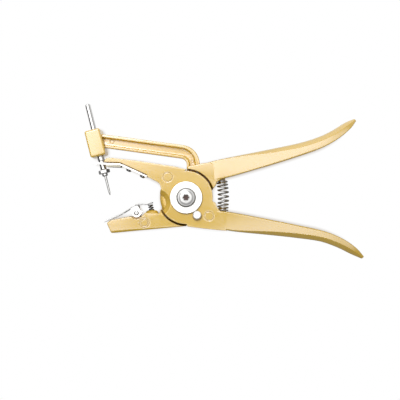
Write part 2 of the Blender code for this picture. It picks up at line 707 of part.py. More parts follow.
def rear_lever(model, guides):
    """Lower jaw, rear hub disc and upper handle in one casting."""
    heel = [ANVIL_TOE, ANVIL_BELLY, ANVIL_HEEL]
    right_rim = arc(HUB_RADIUS, *REAR_RIM_RIGHT, 26)
    left_rim = arc(HUB_RADIUS, *REAR_RIM_LEFT, 30)
    anvil = [ANVIL_STEP, ANVIL_CREST, ANVIL_SHOULDER, ANVIL_DIP, ANVIL_SADDLE, ANVIL_TOP, ANVIL_NOSE]
    outline = rounded(heel + right_rim + list(UPPER_ROOT) + left_rim + anvil)
    lever = bevel(prism("rear_lever", outline, BACK_Z, FRONT_Z, model), CASTING_EDGE)
    handle, channel = cast_handle("upper_handle", UPPER_HANDLE, 1, UPPER_TIP_LAND, guides)
    join(lever, handle)
    cut(lever, channel)
    hub_top = FRONT_DISC_FLOOR - LAYER_GAP
    cut(lever, cylinder("hub_room_rear", OPEN_RADIUS, hub_top, FRONT_Z + OVERCUT, guides, steps=HUB_STEPS))
    rounding_foot = hub_top - HUB_ROUNDING
    rounding = [(OPEN_RADIUS - 0.2, FRONT_Z), (OPEN_RADIUS - 0.2, rounding_foot)]
    rounding += arc(HUB_ROUNDING, 0, 90, 5, (HUB_RADIUS - HUB_ROUNDING, rounding_foot))
    rounding += [(HUB_RADIUS - HUB_ROUNDING, FRONT_Z)]
    cut(lever, turned("hub_rounding", rounding, guides, steps=HUB_STEPS, hollow=True))
    eye_room = cylinder("eye_room", EYE_RADIUS + FIT * 2, REAR_DISC_TOP, FRONT_Z, guides, steps=48)
    wedge = [(0.0, 0.0)] + arc(HUB_RADIUS + HUB_GAP / 2, WEDGE_START, WEDGE_END, 48)
    arm_room = [
        ARM_ROOM_START, ARM_ROOM_FOOT, (ARM_ROOM_RIGHT, ARM_ROOM_SHOULDER), (ARM_ROOM_RIGHT, ARM_ROOM_TOP),
        (ARM_ROOM_LEFT, ARM_ROOM_TOP),
    ]
    cut(lever, eye_room)
    cut(lever, prism("middle_wedge", wedge, REAR_DISC_TOP, hub_top + 1, guides))
    cut(lever, prism("arm_room", arm_room, REAR_DISC_TOP, FRONT_DISC_FLOOR, guides))
    cut(lever, cylinder("rear_bore", BARREL_RADIUS + FIT, BACK_Z - OVERCUT, FRONT_Z, guides))
    cut(lever, cylinder("counterbore", REAR_WASHER_RADIUS + FIT * 2, BACK_Z - OVERCUT, COUNTERBORE_Z, guides))
    width = STOP_SHANK_RADIUS + FIT
    low = STOP_ANGLE - STOP_MARGIN
    high = STOP_ANGLE + CLOSE_ANGLE + STOP_MARGIN
    track = arc(STOP_ORBIT + width, low, high, 14)
    track += arc(width, high, high + 180, 8, polar(STOP_ORBIT, high))[1:-1]
    track += arc(STOP_ORBIT - width, high, low, 14)
    track += arc(width, low + 180, low + 360, 8, polar(STOP_ORBIT, low))[1:-1]
    cut(lever, prism("stop_track", track, BACK_Z - OVERCUT, FRONT_DISC_FLOOR, guides))
    seat = along(SPRING_HEAD, SPRING_FOOT)
    cut(lever, cylinder("upper_pocket", POCKET_RADIUS, 0, 12, guides, seat))
    join(lever, cylinder("upper_spigot", SPIGOT_RADIUS, -3, SPIGOT_LENGTH, guides, seat, 24))
    cut(lever, slot_cutter("lower_fork", ANVIL_END, FORK_SLOT, LOWER_FORK_Y, guides))
    add_clip_seat(lever, guides)
    cut(lever, edge_rounding("front_rounding", ANVIL_ROUNDING, FRONT_Z, -1, guides))
    cut(lever, edge_rounding("back_rounding", ANVIL_ROUNDING, BACK_Z, 1, guides))
    cut(lever, *ejector_marks("anvil_mark", ANVIL_MARK, guides))
    return lever


def add_clip_seat(lever, guides):
    """Recesses, lug and spring boss for the tag clip on the lower jaw."""
    pivot = Matrix.Translation(millimetres(*CLIP_PIVOT, 0))
    inner = CLIP_WIDTH / 2 - CLIP_THICKNESS - FIT
    cut(lever, cylinder("front_recess", CLIP_RECESS, MIDDLE_Z + inner, FRONT_Z + OVERCUT, guides, pivot, 36))
    cut(lever, cylinder("back_recess", CLIP_RECESS, BACK_Z - OVERCUT, MIDDLE_Z - inner, guides, pivot, 36))
    join(lever, cylinder("clip_lug", CLIP_LUG, MIDDLE_Z - inner + 0.1, MIDDLE_Z + inner - 0.1, guides, pivot, 28))
    left, right = CLIP_PIVOT[0] - CLIP_LUG, CLIP_PIVOT[0] + CLIP_LUG
    lug_foot = [(left, CLIP_PIVOT[1]), (left, CLIP_LUG_FOOT), (right, CLIP_LUG_FOOT), (right, CLIP_PIVOT[1])]
    join(lever, prism("lug_foot", lug_foot, MIDDLE_Z - inner + 0.2, MIDDLE_Z + inner - 0.2, guides))
    cut(lever, cylinder("clip_bore", CLIP_PIN_RADIUS + FIT, BACK_Z - OVERCUT, FRONT_Z + OVERCUT, guides, pivot, 20))
    dome = BOSS_RADIUS - 1.6
    profile = [
        (0, 0), (dome * 0.6, -0.15), (dome, -0.6), (BOSS_RADIUS - 0.5, -1.5), (BOSS_RADIUS, -2.6),
        (BOSS_RADIUS, -BOSS_HEIGHT), (0, -BOSS_HEIGHT),
    ]
    join(lever, turned("spring_boss", profile, guides, along((BOSS_X, BOSS_TOP), (BOSS_X, BOSS_TOP + 1)), 28))


def inset_outline(inset_top, inset_low):
    """The arm's outline, drawn in from its top and its lower edge."""
    top = offset_line([ARM_TOP_END, BOW_OUTER, ARM_ROOT_RIGHT], -inset_top)
    low = offset_line([ARM_LOWER_END, BOW_INNER, (ARM_LEFT, 22.0)], inset_low)
    return top, low


def pin_arm(model, guides):
    """Hub eye, bowed I-section arm and the block that holds the pin."""
    top, low = inset_outline(0.0, 0.0)
    outline = rounded([
        top[0], (*top[1], BOW_OUTER_RADIUS), (*top[2], 6.0), ARM_ROOT_FOOT, (10.0, 5.0), (ARM_LEFT, 5.0),
        (ARM_LEFT, 16.0), (*low[1], BOW_INNER_RADIUS), low[0],
    ], 8)
    arm = bevel(prism("pin_arm", outline, ARM_BACK_Z, ARM_FRONT_Z, model), ARM_EDGE)
    join(arm, cylinder("arm_eye", EYE_RADIUS, ARM_BACK_Z - 0.1, ARM_FRONT_Z + 0.1, guides, steps=48))
    top, low = inset_outline(ARM_TOP_FLANGE, ARM_LOWER_FLANGE)
    web = rounded([
        (WEB_END, top[0][1] + 0.4), (*top[1], BOW_OUTER_RADIUS - ARM_TOP_FLANGE), (top[2][0] - 0.8, WEB_FOOT, 1.6),
        (ARM_LEFT + ARM_LOWER_FLANGE, WEB_FOOT, 1.6), (*low[1], BOW_INNER_RADIUS + ARM_LOWER_FLANGE),
        (WEB_END, low[0][1] + 0.4),
    ], 8)
    web_front = prism("web_front", web, MIDDLE_Z + ARM_WEB / 2, ARM_FRONT_Z + OVERCUT, guides)
    web_back = prism("web_back", web, ARM_BACK_Z - OVERCUT, MIDDLE_Z - ARM_WEB / 2, guides)
    cut(arm, bevel(web_front, ARM_FILLET), bevel(web_back, ARM_FILLET))
    web_face = MIDDLE_Z + ARM_WEB / 2
    cut(arm, *ejector_marks("arm_mark", ARM_MARK, guides, web_face),
        *ejector_marks("arm_root_mark", ARM_ROOT_MARK, guides, web_face))
    join(arm, pin_block(guides))
    cut(arm, cylinder("pin_bore", ROD_RADIUS + FIT, -30, 30, guides, pin_placing(), 28))
    cut(arm, cylinder("set_screw_hole", SET_SCREW_RADIUS + FIT, -BLOCK_DEPTH, 0, guides, set_screw_placing(), 20))
    cut(arm, cylinder("eye_bore", BARREL_RADIUS + FIT, BACK_Z, FRONT_Z, guides))
    outer = RETRACT_RADIUS + RETRACT_WIRE + FIT * 2
    inner = BARREL_RADIUS + FIT + POCKET_WALL
    pocket = [(outer, FRONT_Z), (outer, POCKET_FLOOR_Z), (inner, POCKET_FLOOR_Z), (inner, FRONT_Z)]
    leg = Matrix.Translation(millimetres(*polar(RETRACT_RADIUS, 0.0), 0))
    leg_foot = ARM_BACK_Z + LEG_COVER - FIT
    cut(arm, cylinder("arm_leg_hole", RETRACT_WIRE + FIT, leg_foot, FRONT_Z, guides, leg, 12))
    cut(arm, turned("spring_pocket", pocket, guides, hollow=True))
    return arm


def pin_placing():
    """The pin's axis: Z runs down to the needle, from the height of the block's centre."""
    start = polar(PIN_OFFSET, PIN_TILT, BLOCK_CENTRE)
    return along(start, polar(1.0, PIN_TILT - 90.0, start))


def set_screw_placing():
    """The set screw enters the block from the back and ends at the rod."""
    return Matrix.Translation(millimetres(*polar(PIN_OFFSET, PIN_TILT, BLOCK_CENTRE), MIDDLE_Z))


def pin_block(guides):
    """Rounded block at the end of the arm."""
    bpy.ops.mesh.primitive_cube_add(size=1.0)
    block = bpy.context.object
    block.name = "pin_block"
    block.data.transform(Matrix.Diagonal(millimetres(BLOCK_WIDTH, BLOCK_LENGTH, BLOCK_DEPTH)).to_4x4())
    turn = Matrix.Rotation(math.radians(PIN_TILT), 4, 'Z')
    block.matrix_world = Matrix.Translation(millimetres(*BLOCK_CENTRE, MIDDLE_Z)) @ turn
    for home in block.users_collection:
        home.objects.unlink(block)
    guides.objects.link(block)
    return bevel(block, BLOCK_EDGE, 3)


def pin_pieces(model, guides):
    """Plunger rod, lock nut, needle and the set screw in the block."""
    place = pin_placing()
    collar = BLOCK_LENGTH / 2 + SEAT
    collar_end = collar + ROD_COLLAR_LENGTH
    socket = NEEDLE_SHANK_RADIUS + FIT
    rod = turned("plunger_rod", [
        (0, ROD_FOOT - NEEDLE_SHANK_LENGTH - 1), (socket, ROD_FOOT - NEEDLE_SHANK_LENGTH - 1),
        (socket, ROD_FOOT), (ROD_FOOT_RADIUS - 0.3, ROD_FOOT), (ROD_FOOT_RADIUS, ROD_FOOT - 0.3),
        (ROD_FOOT_RADIUS, collar_end), (ROD_COLLAR_RADIUS - 0.4, collar_end),
        (ROD_COLLAR_RADIUS, collar_end - 0.4), (ROD_COLLAR_RADIUS, collar), (ROD_RADIUS, collar),
        (ROD_RADIUS, 0.8 - ROD_TOP), (ROD_RADIUS - 0.8, -ROD_TOP), (0, -ROD_TOP),
    ], model, place, 28)
    nut_low = ROD_FOOT + SEAT
    nut_high = nut_low + NUT_HEIGHT
    corner = NUT_FLATS / 2 / math.cos(math.radians(30))
    nut = prism("lock_nut", arc(corner, 0, 300, 5), nut_low, nut_high, model, place)
    cut(bevel(nut, 0.4, 1, 80), cylinder("nut_bore", socket, 0, 60, guides, place, 20))
    neck = nut_high + SEAT
    needle_start = neck + NEEDLE_COLLAR_LENGTH
    tip = needle_start + NEEDLE_LENGTH
    needle = turned("needle", [
        (0, tip), (NEEDLE_TIP_RADIUS, tip - 0.4), (NEEDLE_RADIUS * 0.8, tip - NEEDLE_POINT_LENGTH),
        (NEEDLE_RADIUS, needle_start), (NEEDLE_COLLAR_RADIUS - 0.5, needle_start),
        (NEEDLE_COLLAR_RADIUS, needle_start - 0.6), (NEEDLE_COLLAR_RADIUS, neck),
        (NEEDLE_SHANK_RADIUS, neck), (NEEDLE_SHANK_RADIUS, ROD_FOOT - NEEDLE_SHANK_LENGTH),
        (0, ROD_FOOT - NEEDLE_SHANK_LENGTH),
    ], model, place, 20)
    screw_top = -(ROD_RADIUS + SEAT)
    screw = cylinder("set_screw", SET_SCREW_RADIUS, screw_top - SET_SCREW_LENGTH, screw_top,
                     model, set_screw_placing(), 20)
    hexagon = prism("set_screw_hexagon", arc(1.1, 0, 300, 5), screw_top - SET_SCREW_LENGTH - 1,
                    screw_top - SET_SCREW_LENGTH + 2, guides, set_screw_placing())
    cut(screw, hexagon)
    return [rod, nut, needle, screw]


def pivot_pieces(model, guides):
    """Barrel nut from the back, screw from the front and two washers."""
    bore = SCREW_SHANK_RADIUS + FIT
    end = WASHER_Z + WASHER_THICKNESS
    depth = SCREW_HEAD_Z - SCREW_SHANK_LENGTH - 1
    barrel = turned("pivot_barrel", [
        (0, depth), (bore, depth), (bore, end), (BARREL_RADIUS - 0.3, end), (BARREL_RADIUS, end - 0.3),
        (BARREL_RADIUS, BARREL_HEAD_DEPTH), (BARREL_HEAD_RADIUS, BARREL_HEAD_DEPTH),
        (BARREL_HEAD_RADIUS, 0.5), (BARREL_HEAD_RADIUS - 0.5, 0), (0, 0),
    ], model)
    top = SCREW_HEAD_Z + SCREW_HEAD_HEIGHT
    screw = turned("pivot_screw", [
        (0, top), (SCREW_TOP_RADIUS, top), (SCREW_TOP_RADIUS + 1.4, top - SCREW_STEP),
        (SCREW_HEAD_RADIUS - 1.3, top - SCREW_STEP - 0.1), (SCREW_HEAD_RADIUS - 0.4, top - SCREW_STEP - 0.8),
        (SCREW_HEAD_RADIUS, top - SCREW_STEP - 1.6), (SCREW_HEAD_RADIUS, SCREW_HEAD_Z),
        (SCREW_SHANK_RADIUS, SCREW_HEAD_Z), (SCREW_SHANK_RADIUS, SCREW_HEAD_Z - SCREW_SHANK_LENGTH),
        (0, SCREW_HEAD_Z - SCREW_SHANK_LENGTH),
    ], model)
    star = []
    for lobe in range(6):
        star += [polar(STAR_RADIUS, lobe * 60 - 9), polar(STAR_RADIUS, lobe * 60 + 9),
                 polar(STAR_RADIUS * 0.68, lobe * 60 + 30)]
    cut(screw, prism("star_socket", star, top - STAR_DEPTH, top + 2, guides))
    front = ring("front_washer", WASHER_RADIUS, BARREL_RADIUS + FIT, WASHER_Z, WASHER_Z + WASHER_THICKNESS, 0.3, model)
    rear = ring("rear_washer", REAR_WASHER_RADIUS, BARREL_RADIUS + FIT, REAR_WASHER_Z,
                REAR_WASHER_Z + REAR_WASHER_THICKNESS, 0.15, model)
    return [barrel, screw, front, rear]


def stop_pin(model):
    """Steel pin beside the pivot, whose shank runs in the rear lever's track."""
    top = FRONT_Z + SEAT + STOP_HEAD_HEIGHT
    place = Matrix.Translation(millimetres(*polar(STOP_ORBIT, STOP_ANGLE), 0))
    return turned("stop_pin", [
        (0, top), (STOP_HEAD_RADIUS - 0.9, top), (STOP_HEAD_RADIUS, top - 0.9),
        (STOP_HEAD_RADIUS, FRONT_Z + SEAT), (STOP_SHANK_RADIUS, FRONT_Z + SEAT),
        (STOP_SHANK_RADIUS, BACK_Z + 1.0), (STOP_SHANK_RADIUS - 0.6, BACK_Z + 0.4), (0, BACK_Z + 0.4),
    ], model, place, 28)


def tag_clip(model, guides):
    """Sprung sheet clip that holds the tag's female half on the lower jaw."""
    half = CLIP_WIDTH / 2
    clip = prism("tag_clip", strip(CLIP_PATH, CLIP_THICKNESS), MIDDLE_Z - half, MIDDLE_Z + half, model)
    cut(clip, slot_cutter("clip_fork", CLIP_SLOT_END, CLIP_SLOT, LOWER_FORK_Y, guides))
    x, y = CLIP_PIVOT
    lobe = arc(CLIP_LOBE, 205, 375, 12, CLIP_PIVOT)
    apex = CLIP_PATH[2]
    ear = lobe + [(apex[0] + 0.9, apex[1]), (apex[0], apex[1]), (-50.6, -9.8)]
    for name, low in (("front_ear", MIDDLE_Z + half - CLIP_THICKNESS), ("back_ear", MIDDLE_Z - half)):
        join(clip, prism(name, ear, low + 0.02, low + CLIP_THICKNESS - 0.02, guides))
    pivot = Matrix.Translation(millimetres(x, y, 0))
    cut(clip, cylinder("clip_pin_hole", CLIP_PIN_RADIUS + FIT, BACK_Z - OVERCUT, FRONT_Z + OVERCUT, guides, pivot, 20))
    return clip


def clip_pin(model):
    """Rivet through the clip's ears and the lower jaw."""
    reach = CLIP_WIDTH / 2 + SEAT
    head = reach + CLIP_PIN_HEAD_HEIGHT
    place = Matrix.Translation(millimetres(*CLIP_PIVOT, MIDDLE_Z))
    return turned("clip_pin", [
        (0, head), (CLIP_PIN_HEAD * 0.6, head), (CLIP_PIN_HEAD, reach + 0.3), (CLIP_PIN_HEAD, reach),
        (CLIP_PIN_RADIUS, reach), (CLIP_PIN_RADIUS, -reach), (CLIP_PIN_HEAD, -reach),
        (CLIP_PIN_HEAD, -reach - 0.3), (CLIP_PIN_HEAD * 0.6, -head), (0, -head),
    ], model, place, 20)


def coil_path(foot, head, bow, radius, turns, steps, closed=1.0):
    """A coil between two points of the middle plane, its ends wound close."""
    foot, head = Vector((*foot, MIDDLE_Z)), Vector((*head, MIDDLE_Z))
    run = head - foot
    side = Vector((run.y, -run.x, 0)).normalized()
    count = int(turns * steps)
    path = []
    for i in range(count + 1):
        share = i / count
        rise = share - closed * math.sin(2 * math.pi * share) / (2 * math.pi) * 0.45
        centre = foot + run * rise + side * bow * math.sin(math.pi * rise)
        angle = 2 * math.pi * i / steps
        path.append(centre + side * radius * math.cos(angle) + Vector((0, 0, radius * math.sin(angle))))
    return path


def springs(model):
    """Handle spring, clip spring and the pin arm's torsion spring."""
    run = (Vector(SPRING_HEAD) - Vector(SPRING_FOOT)).normalized()
    inset = run * (SPRING_WIRE + SEAT)
    handle = coil_path(Vector(SPRING_FOOT) + inset, Vector(SPRING_HEAD) - inset, SPRING_BOW,
                       SPRING_RADIUS, SPRING_TURNS, 12)
    tab = CLIP_PATH[3][1] - CLIP_THICKNESS / 2
    foot_x = BOSS_X + CLIP_SPRING_LEAN * 0.8
    low = (foot_x, BOSS_TOP + SEAT + CLIP_SPRING_WIRE)
    high = (foot_x + CLIP_SPRING_LEAN, tab - SEAT - CLIP_SPRING_WIRE)
    clip = coil_path(low, high, 0.0, CLIP_SPRING_RADIUS, CLIP_SPRING_TURNS, 12)
    count = int(RETRACT_TURNS * 16)
    torsion = [(RETRACT_RADIUS, 0.0, ARM_BACK_Z + LEG_COVER)]
    for i in range(count + 1):
        x, y = polar(RETRACT_RADIUS, 360 * i / 16)
        torsion.append((x, y, COIL_FOOT_Z + RETRACT_PITCH * i / 16))
    torsion.append((*polar(RETRACT_RADIUS, retract_end_angle()), FRONT_DISC_FLOOR + LEG_LENGTH - 0.6))
    return [
        wire("handle_spring", handle, SPRING_WIRE, model),
        wire("clip_spring", clip, CLIP_SPRING_WIRE, model),
        wire("retract_spring", torsion, RETRACT_WIRE, model),
    ]


def retract_end_angle():
    """Where the torsion spring's upper leg stands."""
    return 360 * RETRACT_TURNS


def paint(name, colour, metallic, roughness):
    """A Principled material."""
    material = bpy.data.materials.new(name)
    material.use_nodes = True
    shader = material.node_tree.nodes["Principled BSDF"]
    shader.inputs["Base Color"].default_value = (*colour, 1.0)
    shader.inputs["Metallic"].default_value = metallic
    shader.inputs["Roughness"].default_value = roughness
    material.diffuse_color = (*colour, 1.0)
    return material


def dress(pieces, material):
    """Give pieces one material and smooth round sides."""
    for piece in pieces:
        piece.data.materials.append(material)
        if piece.type == 'MESH':
            piece.data.shade_smooth()
            piece.data.set_sharp_from_angle(angle=math.radians(35))


def hinge(name, x, y, pieces, model):
    """An empty on a joint's axis that carries the pieces that turn with it."""
    axis = bpy.data.objects.new(name, None)
    axis.empty_display_size = 10 * MM
    axis.location = millimetres(x, y, MIDDLE_Z)
    model.objects.link(axis)
    bpy.context.view_layer.update()
    for piece in pieces:
        piece.parent = axis
        piece.matrix_parent_inverse = axis.matrix_world.inverted()


def main():
    for old in list(bpy.data.objects):
        bpy.data.objects.remove(old)
    model = bpy.data.collections.new("ear_tag_applicator")
    guides = bpy.data.collections.new("cutters")
    for collection in (model, guides):
        bpy.context.scene.collection.children.link(collection)

    front = front_lever(model, guides)
    rear = rear_lever(model, guides)
    arm = pin_arm(model, guides)
    pin = pin_pieces(model, guides)
    pivot = pivot_pieces(model, guides)
    stop = stop_pin(model)
    plate = stripper_plate(model, guides)
    screws = plate_screws(model)
    clip = tag_clip(model, guides)
    rivet = clip_pin(model)
    coils = springs(model)

    gold = paint("gold_cast", (0.80, 0.60, 0.27), 0.55, 0.38)
    steel = paint("bright_steel", (0.80, 0.80, 0.79), 1.0, 0.22)
    dress([front, rear, arm], gold)
    dress([*pin, *pivot, stop, plate, *screws, clip, rivet, *coils], steel)
    hinge("jaw_axis", 0, 0, [rear, rivet, coils[1]], model)
    hinge("pin_arm_axis", 0, 0, [arm, *pin], model)
    hinge("clip_axis", *CLIP_PIVOT, [clip], model)


main()
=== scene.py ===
"""Looks of the ear tag applicator: finishes, round wire, light and camera.

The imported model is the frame.  Its castings and steel parts keep their shapes and
get procedural finishes here, and the coil springs are wound again with round wire.
Lengths are millimetres in the named values, and MM turns them into metres.
Colours are linear RGB.
"""

import math

import bpy
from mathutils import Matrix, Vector

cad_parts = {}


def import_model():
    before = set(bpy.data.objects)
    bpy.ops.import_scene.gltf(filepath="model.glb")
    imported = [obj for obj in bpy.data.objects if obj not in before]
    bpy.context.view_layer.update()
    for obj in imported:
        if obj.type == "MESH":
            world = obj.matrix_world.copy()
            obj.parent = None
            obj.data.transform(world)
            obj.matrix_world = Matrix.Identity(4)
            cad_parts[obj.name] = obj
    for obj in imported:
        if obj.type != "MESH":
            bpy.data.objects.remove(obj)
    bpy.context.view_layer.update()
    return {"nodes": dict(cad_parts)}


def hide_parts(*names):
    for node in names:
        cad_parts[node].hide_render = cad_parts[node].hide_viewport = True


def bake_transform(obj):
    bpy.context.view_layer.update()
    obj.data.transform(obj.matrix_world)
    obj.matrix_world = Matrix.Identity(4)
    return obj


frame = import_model()

MM = 0.001

# Camera: straight above the tool, with the photograph's frame at the front plane
CAMERA_TARGET = (12.5, -2.25)
FRONT_PLANE = 21.0
CAMERA_HEIGHT = 600.0
CAMERA_LENS = 60.0
SENSOR_WIDTH = 36.0

# Heights, places and radii of the frame that the finishes refer to
PIVOT = (0.0, 0.0)
MIDDLE_Z = 11.0
SCREW_TOP = 26.6
SCREW_HEAD_Z = 23.0
SOCKET_RADIUS = 3.2
SOCKET_LIP = 0.12
SOCKET_RIM = 3.4
CLIP_PIVOT = (-44.8, -13.9)
CLIP_EAR_RADIUS = 5.9
CLIP_PIN_RADIUS = 1.9
HUB_RADIUS = 27.0
SCOOP = (-26.8, -5.0)
SCOOP_RADIUS = 12.9
COIL_SEAT = (-30.5, -12.5)
COIL_SEAT_RADIUS = 8.0
PLATE_RIBS = (-59.5, 29.3)

# Line of the upper jaw that the stripper plate beds on, and the painted shade line along it
JAW_TIP = (-75.2, 31.6)
JAW_BEND = (-59.4, 31.0)
JAW_SEAT_END = (-35.2, 20.0)
SEAM_SHADE = 0.75

# Painted shade on the edges of the hollows round the hub discs, widening the dark gap, from one radius to
# another
HOLLOW_SHADE_RADII = (24.8, 25.95)

# Painted shadows beside the washer and the stop button, as cast by them: centre and radius of each patch
PAINTED_SHADOW_PATCHES = ((0.25, -0.3, 14.85), (10.0, -16.9, 4.3))
PAINTED_SHADOW_SHARE = 0.35

# Ejector marks on the castings: centre and radius of each rim
EJECTOR_MARKS = (
    (-16.6, 18.4, 4.5), (20.7, -16.7, 4.4), (-37.6, -22.7, 4.8), (-37.6, -22.7, 3.4),
    (-67.8, 50.5, 2.0), (5.9, 32.7, 1.5),
)
MARK_WIDTH = 0.9
MARK_DEPTH = 0.05

# Gold enamel: two shades of the mottling, the painted shade of crevices and gaps, a cool gloss and the
# surface.
# ENAMEL_PLAIN is for viewports that show no nodes.
ENAMEL_PLAIN = (0.74, 0.49, 0.08)
ENAMEL_DEEP = (0.74, 0.470, 0.034)
ENAMEL_LIGHT = (0.775, 0.505, 0.044)
ENAMEL_PAINTED_SHADE = (0.20, 0.095, 0.003)
ENAMEL_GLOSS = (0.70, 0.755, 0.93)
ENAMEL_IOR = 2.3
# Specular level in the painted shade, where the gloss dims too, and in the open
PAINTED_SHADE_GLOSS = 0.1
OPEN_GLOSS = 0.5
MOTTLE_SIZE = 26.0
POLISH_SIZE = 4.0
POLISH_LOW = 0.15
POLISH_HIGH = 0.18
AS_CAST_ROUGHNESS = 0.3
PEEL_SIZE = 0.9
PEEL_DEPTH = 0.004
PEEL_STRENGTH = 0.5
LEVER_EDGE = 0.8
ARM_EDGE = 1.3

# How far from a corner the enamel takes painted shade, and between which shares of open sky
CREVICE_REACH = 3.0
CREVICE_START = 0.15
CREVICE_END = 0.75

# Rise of a face's normal that counts as level, looking up and looking down
LEVEL = 0.97
LOOKS_UP = 0.5
LOOKS_DOWN = -0.5

# Half of the step over which one finish gives way to the next
BLUR = 0.35

# Grey, roughness and edge radius of each plated steel
STEELS = {
    "bright_steel": (0.36, 0.14, 0.45),
    "spring_steel": (0.4, 0.32, 0.05),
    "clip_wire_steel": (0.12, 0.25, 0.05),
    "rod_steel": (0.48, 0.16, 0.3),
    "needle_steel": (0.42, 0.2, 0.2),
    "screw_steel": (0.62, 0.3, 0.3),
    "plate_steel": (0.55, 0.2, 0.2),
    "clip_steel": (0.34, 0.16, 0.25),
}
STEEL_GRAIN = 1.8
STEEL_SMOOTHER = 0.03
STEEL_ROUGHER = 0.05
ZINC = (0.92, 0.91, 0.87)
ZINC_METALLIC = 0.45
ZINC_GRAIN = 2.5
ZINC_LOW = 0.27
ZINC_HIGH = 0.36
ZINC_EDGE = 0.4

# Greys that differ within a piece, painted as light and shade; each ring of the screw's head, a painted lit
# or shaded band, starts at a radius
SCREW_METALLIC = 0.5
SCREW_SHADE_RINGS = ((5.3, 0.30), (6.3, 0.42), (7.8, 0.26))
# The screw's socket rim and inside are painted shade
SOCKET_RIM_SHADE = 0.35
SOCKET_SHADE = (0.055, 0.03, 0.025)
# The clip's ears get a painted highlight, paler than its pin and strip
CLIP_PIN_GREY = 0.55
CLIP_EAR_HIGHLIGHT = 0.90
# Painted shade on the stripper plate's ribs
RIB_PAINTED_SHADE = (0.22, 0.2046, 0.165)

# Springs, as they are wound in the frame
COIL_STEPS = 36
SMALL_COIL_STEPS = 24
WIRE_FACETS = 3
HANDLE_SPRING_FOOT = (33.2, -12.9)
HANDLE_SPRING_HEAD = (32.4, 16.6)
HANDLE_SPRING_BOW = 1.1
HANDLE_SPRING_RADIUS = 4.6
HANDLE_SPRING_WIRE = 0.7
HANDLE_SPRING_TURNS = 8.5
HANDLE_SPRING_CLOSED = 0.25
SEAT = 0.3

CLIP_SPRING_X = -31.7
CLIP_SPRING_FOOT = -11.4
CLIP_SPRING_HEAD = -6.5
CLIP_SPRING_LEAN = -1.2
CLIP_SPRING_RADIUS = 1.9
CLIP_SPRING_WIRE = 0.55
CLIP_SPRING_TURNS = 2.5
CLIP_SPRING_CLOSED = 0.1

TORSION_RADIUS = 8.7
TORSION_WIRE = 0.45
TORSION_TURNS = 2.5
TORSION_PITCH = 1.0
TORSION_FOOT_Z = 12.65
TORSION_LEG_LOW_Z = 7.35
TORSION_LEG_HIGH_Z = 17.85

# Smoothing of the frame's meshes
WELD_METRES = 1e-6
CORNER_DEGREES = 32.0
FLAT_WEIGHT = 100

# Light: what the enamel and the steel mirror, as sines of the angle from straight up
SKY_DIFFUSE = 0.52
SKY_EYE = 0.2
RING_LOW = 3.1
RING_HIGH = 4.1
RING_TURN = (-0.04, 0.03)
SOUTH_FALL = (-0.5, -0.1, 0.45)
NORTH_FALL = (0.15, 0.4, 0.45)
EYE_SOUTH = 0.02
EYE_WEST = 0.025
EYE_EDGE = 0.055
RING_START = 0.135
RING_END = 0.5
HORIZON_START = 0.75
HORIZON = 0.34
HORIZON_LEAST = 0.08
HORIZON_EAST = 0.24
HORIZON_NORTH = 0.56
EAST_START = 0.14
EAST_END = 0.24
EAST_SHADE = 0.6
KEY_POWER = 1.9
KEY_PLACE = (-0.12, 0.34, 0.46)
KEY_TARGET = (0.0, 0.02, 0.0)
KEY_SIZE = 0.34

# Floor: its contact shadow, its light on the tool, and its strength in gloss, which
# grows from FLOOR_MIRRORED at the pivot to FLOOR_NORTH at FLOOR_NORTH_END
WHITE = (1.0, 1.0, 1.0)
FLOOR_METRES = 6.0
FLOOR_GAP = 0.3
FLOOR_COLOUR = (0.95, 0.95, 0.95)
FLOOR_ROUGHNESS = 0.9
FLOOR_LIT = 0.55
FLOOR_MIRRORED = 0.22
FLOOR_NORTH = 1.4
FLOOR_NORTH_END = 100.0
SHADOW = (0.50, 0.43, 0.35)
SHADOW_REACH = 4.0
SHADOW_START = 0.3
SHADOW_END = 0.9


